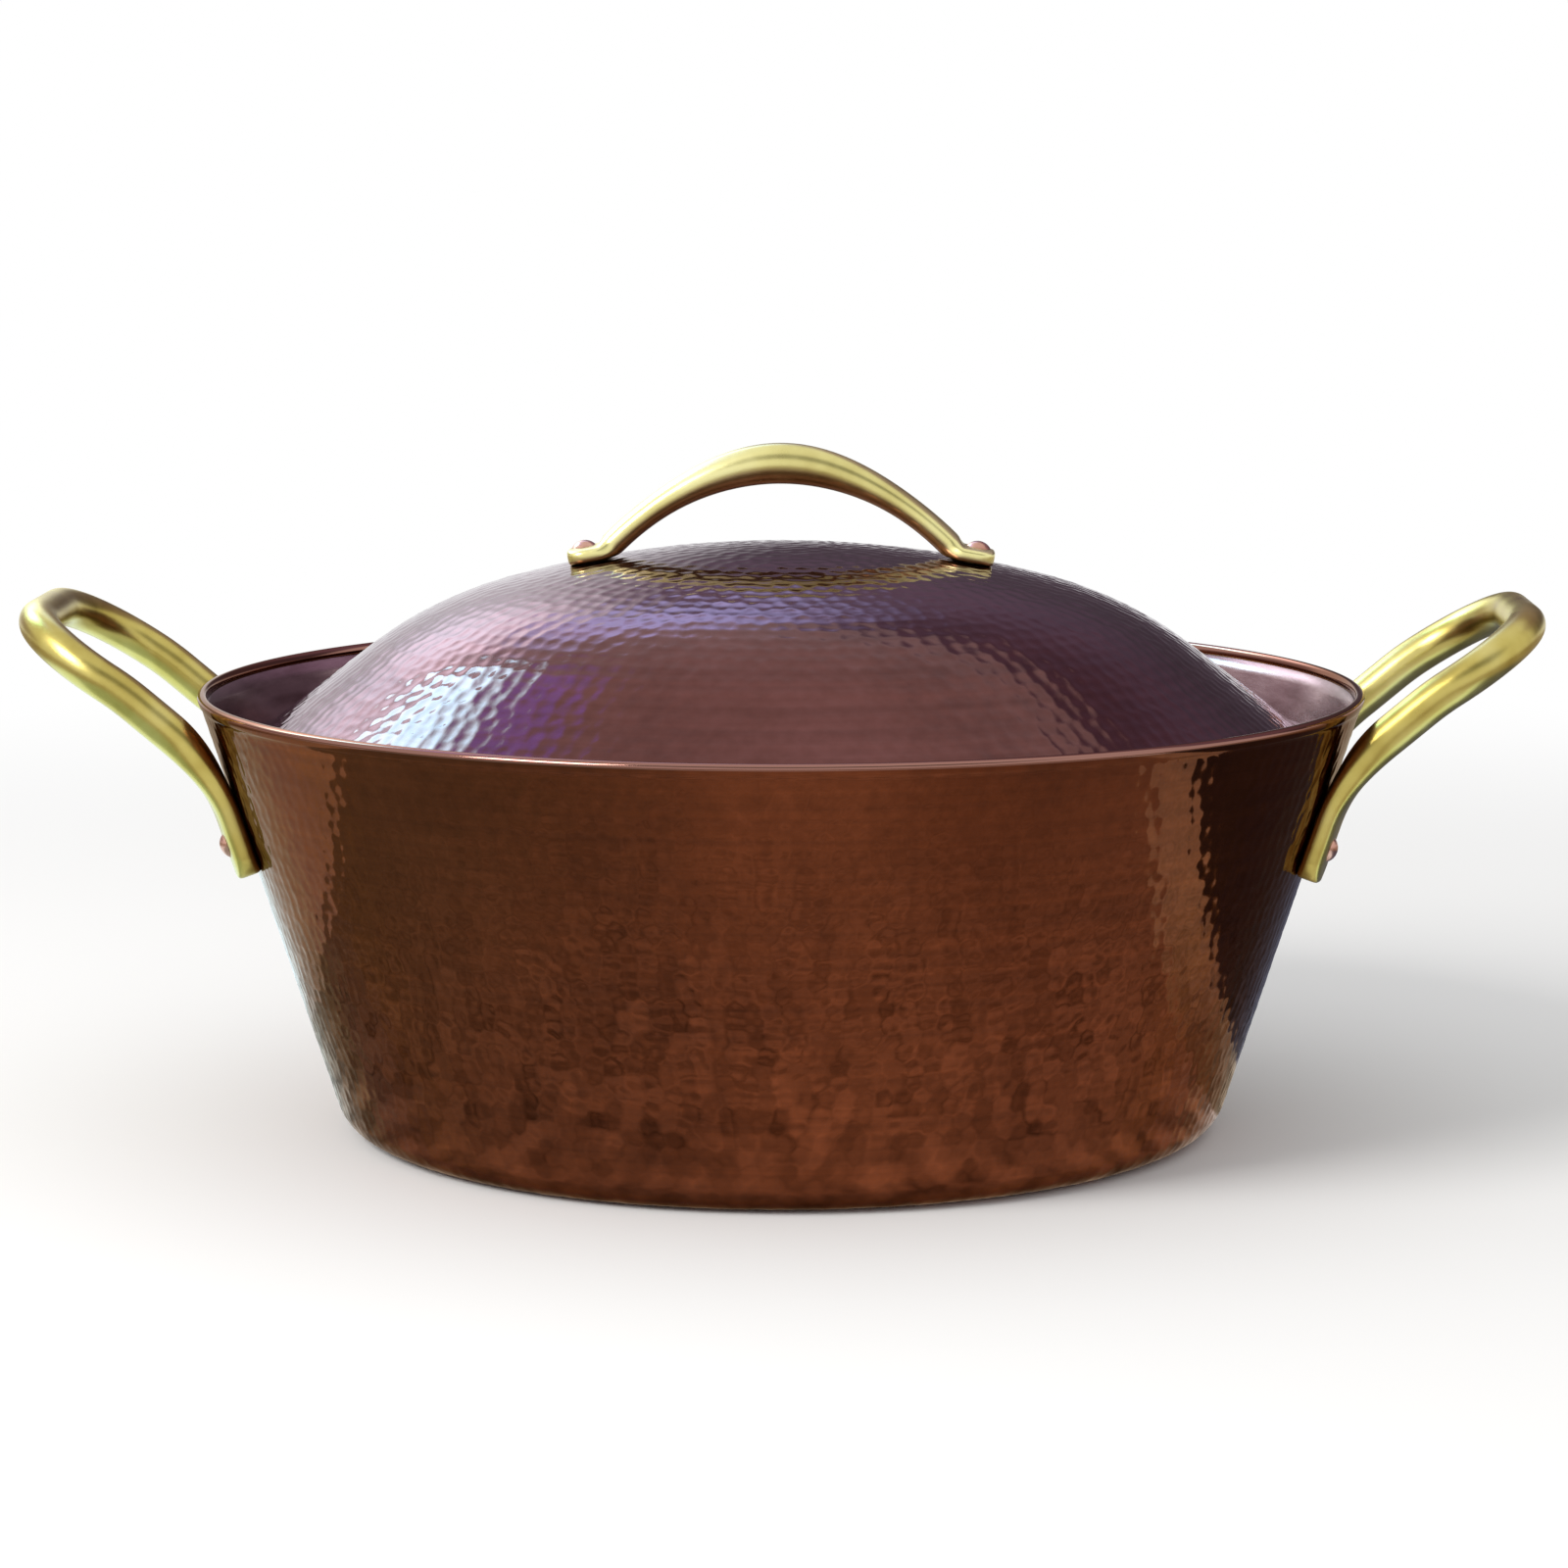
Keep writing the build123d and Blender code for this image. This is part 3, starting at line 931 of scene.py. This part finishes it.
# The lid: a raised copper dome, planished like the pot in rings about its
# centre, that runs down a straight skirt to a narrow turned brim.
lid_sheet = 0.0014
lid_drop = 0.0123
lid_clearance = 0.0003
brim_width = 0.0030
brim_bend = 0.0015
skirt_slope = radians(37.7)
shoulder_radius = 0.0800
crown_spread = radians(15.5)
crown_radius = 0.2180
lid_step = 0.00067
lid_spacing = 0.00077
underside_step = 0.006
brim_step = 0.0004
brim_edge_steps = 8
brim_z = pot_height - lid_drop
brim_reach = wall_point(brim_z, sheet).x - (lid_sheet / 2 + lid_clearance) / cos(wall_lean)
skirt_foot = Vector((brim_reach - brim_width, brim_z + lid_sheet / 2))
shoulder_r = (crown_radius - shoulder_radius) * sin(crown_spread)
shoulder_end_r = shoulder_r + shoulder_radius * sin(skirt_slope)
shoulder_z = skirt_foot.y + (skirt_foot.x - shoulder_end_r) * tan(skirt_slope)
shoulder_z -= shoulder_radius * cos(skirt_slope)
crown_z = shoulder_z - (crown_radius - shoulder_radius) * cos(crown_spread)


def dome_arc(centre_r, centre_z, radius, start, end, step):
    """Points of an arc of the dome, from one tilt off the vertical to another."""
    count = max(2, round(abs(end - start) * radius / step))
    tilts = [start + (end - start) * number / count for number in range(count + 1)]
    return [Vector((centre_r + radius * sin(t), centre_z + radius * cos(t))) for t in tilts]


def lid_face(depth, step):
    """The dome from its middle to the foot of the skirt, this far under the top."""
    crown = dome_arc(0, crown_z, crown_radius - depth, 0, crown_spread, step)
    shoulder = dome_arc(
        shoulder_r, shoulder_z, shoulder_radius - depth, crown_spread, skirt_slope, step
    )
    low = brim_z + lid_sheet / 2 - depth
    foot = Vector((shoulder[-1].x + (shoulder[-1].y - low) / tan(skirt_slope), low))
    brim_end = Vector((brim_reach, low))
    bend = rounded(shoulder[-1], foot, brim_end, brim_bend + depth, brim_step)
    return crown + shoulder[1:] + straight(shoulder[-1], bend[0], step)[1:] + bend


underside = lid_face(lid_sheet, underside_step)
top = lid_face(0, lid_step)
brim_edge = []
for step in range(brim_edge_steps + 1):
    tilt = pi * step / brim_edge_steps
    edge = Vector((sin(tilt), -cos(tilt))) * lid_sheet / 2
    brim_edge.append(Vector((brim_reach, brim_z)) + edge)
lid_section = underside + brim_edge
lid_planished_from = run_length(lid_section) + brim_width
lid_section += top[::-1]
lid_copper = patinated_copper(
    "lid_copper",
    dark=(0.090, 0.031, 0.027),
    middle=(0.120, 0.042, 0.036),
    light=(0.150, 0.055, 0.050),
    limb=(0.95, 0.92, 1.0),
)
lid = planished(
    "copper_lid",
    lid_section,
    lid_spacing,
    lid_copper,
    planish_from=lid_planished_from,
    planish_to=run_length(lid_section),
    blow_spacing=0.0039,
    blow_depth=0.00011,
    wander=0.16,
    seed=8,
)
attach(lid, "lid")
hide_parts("lid")


# The lid handle: a brass bar, painted lighter than the side handles for the light that falls on
# it, forged thick at the top of its arch and thinner down its legs. Its two flat feet follow the
# crown, and a rivet holds each.
arch_rise = 0.0167
arch_thickness = 0.0084
arch_swell = 3
lid_leg_width = 0.0098
lid_leg_thickness = 0.0052
lid_leg_tilt = radians(44.5)
lid_leg_fullness = 2.4
lid_knee_run = 0.0026
lid_rivet_reach = 0.0401
lid_knee_past_rivet = 0.0043
lid_foot_flat = 0.0028
lid_foot_end = 0.0035
lid_foot_width = 0.0116
lid_foot_thickness = 0.0034
arch_steps = 70
knee_steps = 10


def lid_handle_rings():
    """Sections of the lid handle, from one foot over the arch to the other."""
    crown_middle = Vector((0, 0, crown_z))
    tilt = asin(lid_rivet_reach / crown_radius)
    normal = Vector((sin(tilt), 0, cos(tilt)))
    inward = Vector((-cos(tilt), 0, sin(tilt)))
    sagitta = crown_radius - sqrt(crown_radius**2 - (lid_foot_width / 2) ** 2)
    foot_middle = lid_foot_thickness / 2 - sagitta - foot_edge_bite
    foot_centre = crown_middle + normal * (crown_radius + foot_middle)
    foot_start = foot_centre + inward * lid_foot_flat
    foot_end = foot_centre - inward * lid_foot_end
    knee = foot_centre + inward * lid_knee_past_rivet
    leg_line = Vector((cos(lid_leg_tilt), 0, -sin(lid_leg_tilt)))
    leg_end = knee - leg_line * lid_knee_run
    top = Vector((0, 0, crown_z + crown_radius + arch_rise))

    # The half arch is a cubic from the level top to the slope of the leg
    pull = (leg_end - top).length
    arch = []
    for number in range(arch_steps):
        u = number / arch_steps
        arch.append(
            top * (1 + 2 * u) * (1 - u) ** 2
            + Vector((1, 0, 0)) * pull * u * (1 - u) ** 2
            + leg_end * u * u * (3 - 2 * u)
            + leg_line * pull * u * u * (u - 1)
        )
    bend = []
    for number in range(knee_steps):
        u = number / knee_steps
        bend.append(leg_end.lerp(knee, u).lerp(knee.lerp(foot_start, u), u))
    route = arch + bend + foot_stations(foot_start, foot_end, lid_foot_end)
    whole = run_length(route)
    arch_length = run_length(arch + bend[:1])
    knee_to = arch_length + run_length(bend + [foot_start])
    across = Vector((0, -1, 0))
    half = []
    for run, place, along in stations(route, Vector((1, 0, 0))):
        swell = cos(pi / 2 * min(1, run / arch_length)) ** arch_swell
        share = smooth_share(run, arch_length, knee_to)
        width = lid_leg_width + (arch_thickness - lid_leg_width) * swell
        thickness = lid_leg_thickness + (arch_thickness - lid_leg_thickness) * swell
        width, thickness = rounded_foot(
            whole - run,
            width + (lid_foot_width - width) * share,
            thickness + (lid_foot_thickness - thickness) * share,
            lid_foot_end,
        )
        fullness = round_fullness + (lid_leg_fullness - round_fullness) * (1 - swell)
        fullness += (foot_fullness - fullness) * share
        ring = outline(place, across, along.cross(across), width, thickness, fullness)

        # The foot's underside is dressed to the crown
        for point in ring:
            above = (point - crown_middle).length
            if above < crown_radius:
                point.xyz = crown_middle + (point - crown_middle) * crown_radius / above
        half.append(ring)
    return flipped(half[:0:-1], -1, 1) + half


# Painted light: the side handles' brass, painted lighter for the light that falls on the lid
# handle
painted_lit_brass = polished_brass(
    "painted_lit_brass",
    dark=(0.62, 0.54, 0.20),
    middle=(0.80, 0.73, 0.31),
    light=(0.90, 0.85, 0.44),
)
lid_arch = forged_bar("lid_arch_handle", lid_handle_rings(), painted_lit_brass)
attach(lid_arch, "lid")
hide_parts("lid_handle")
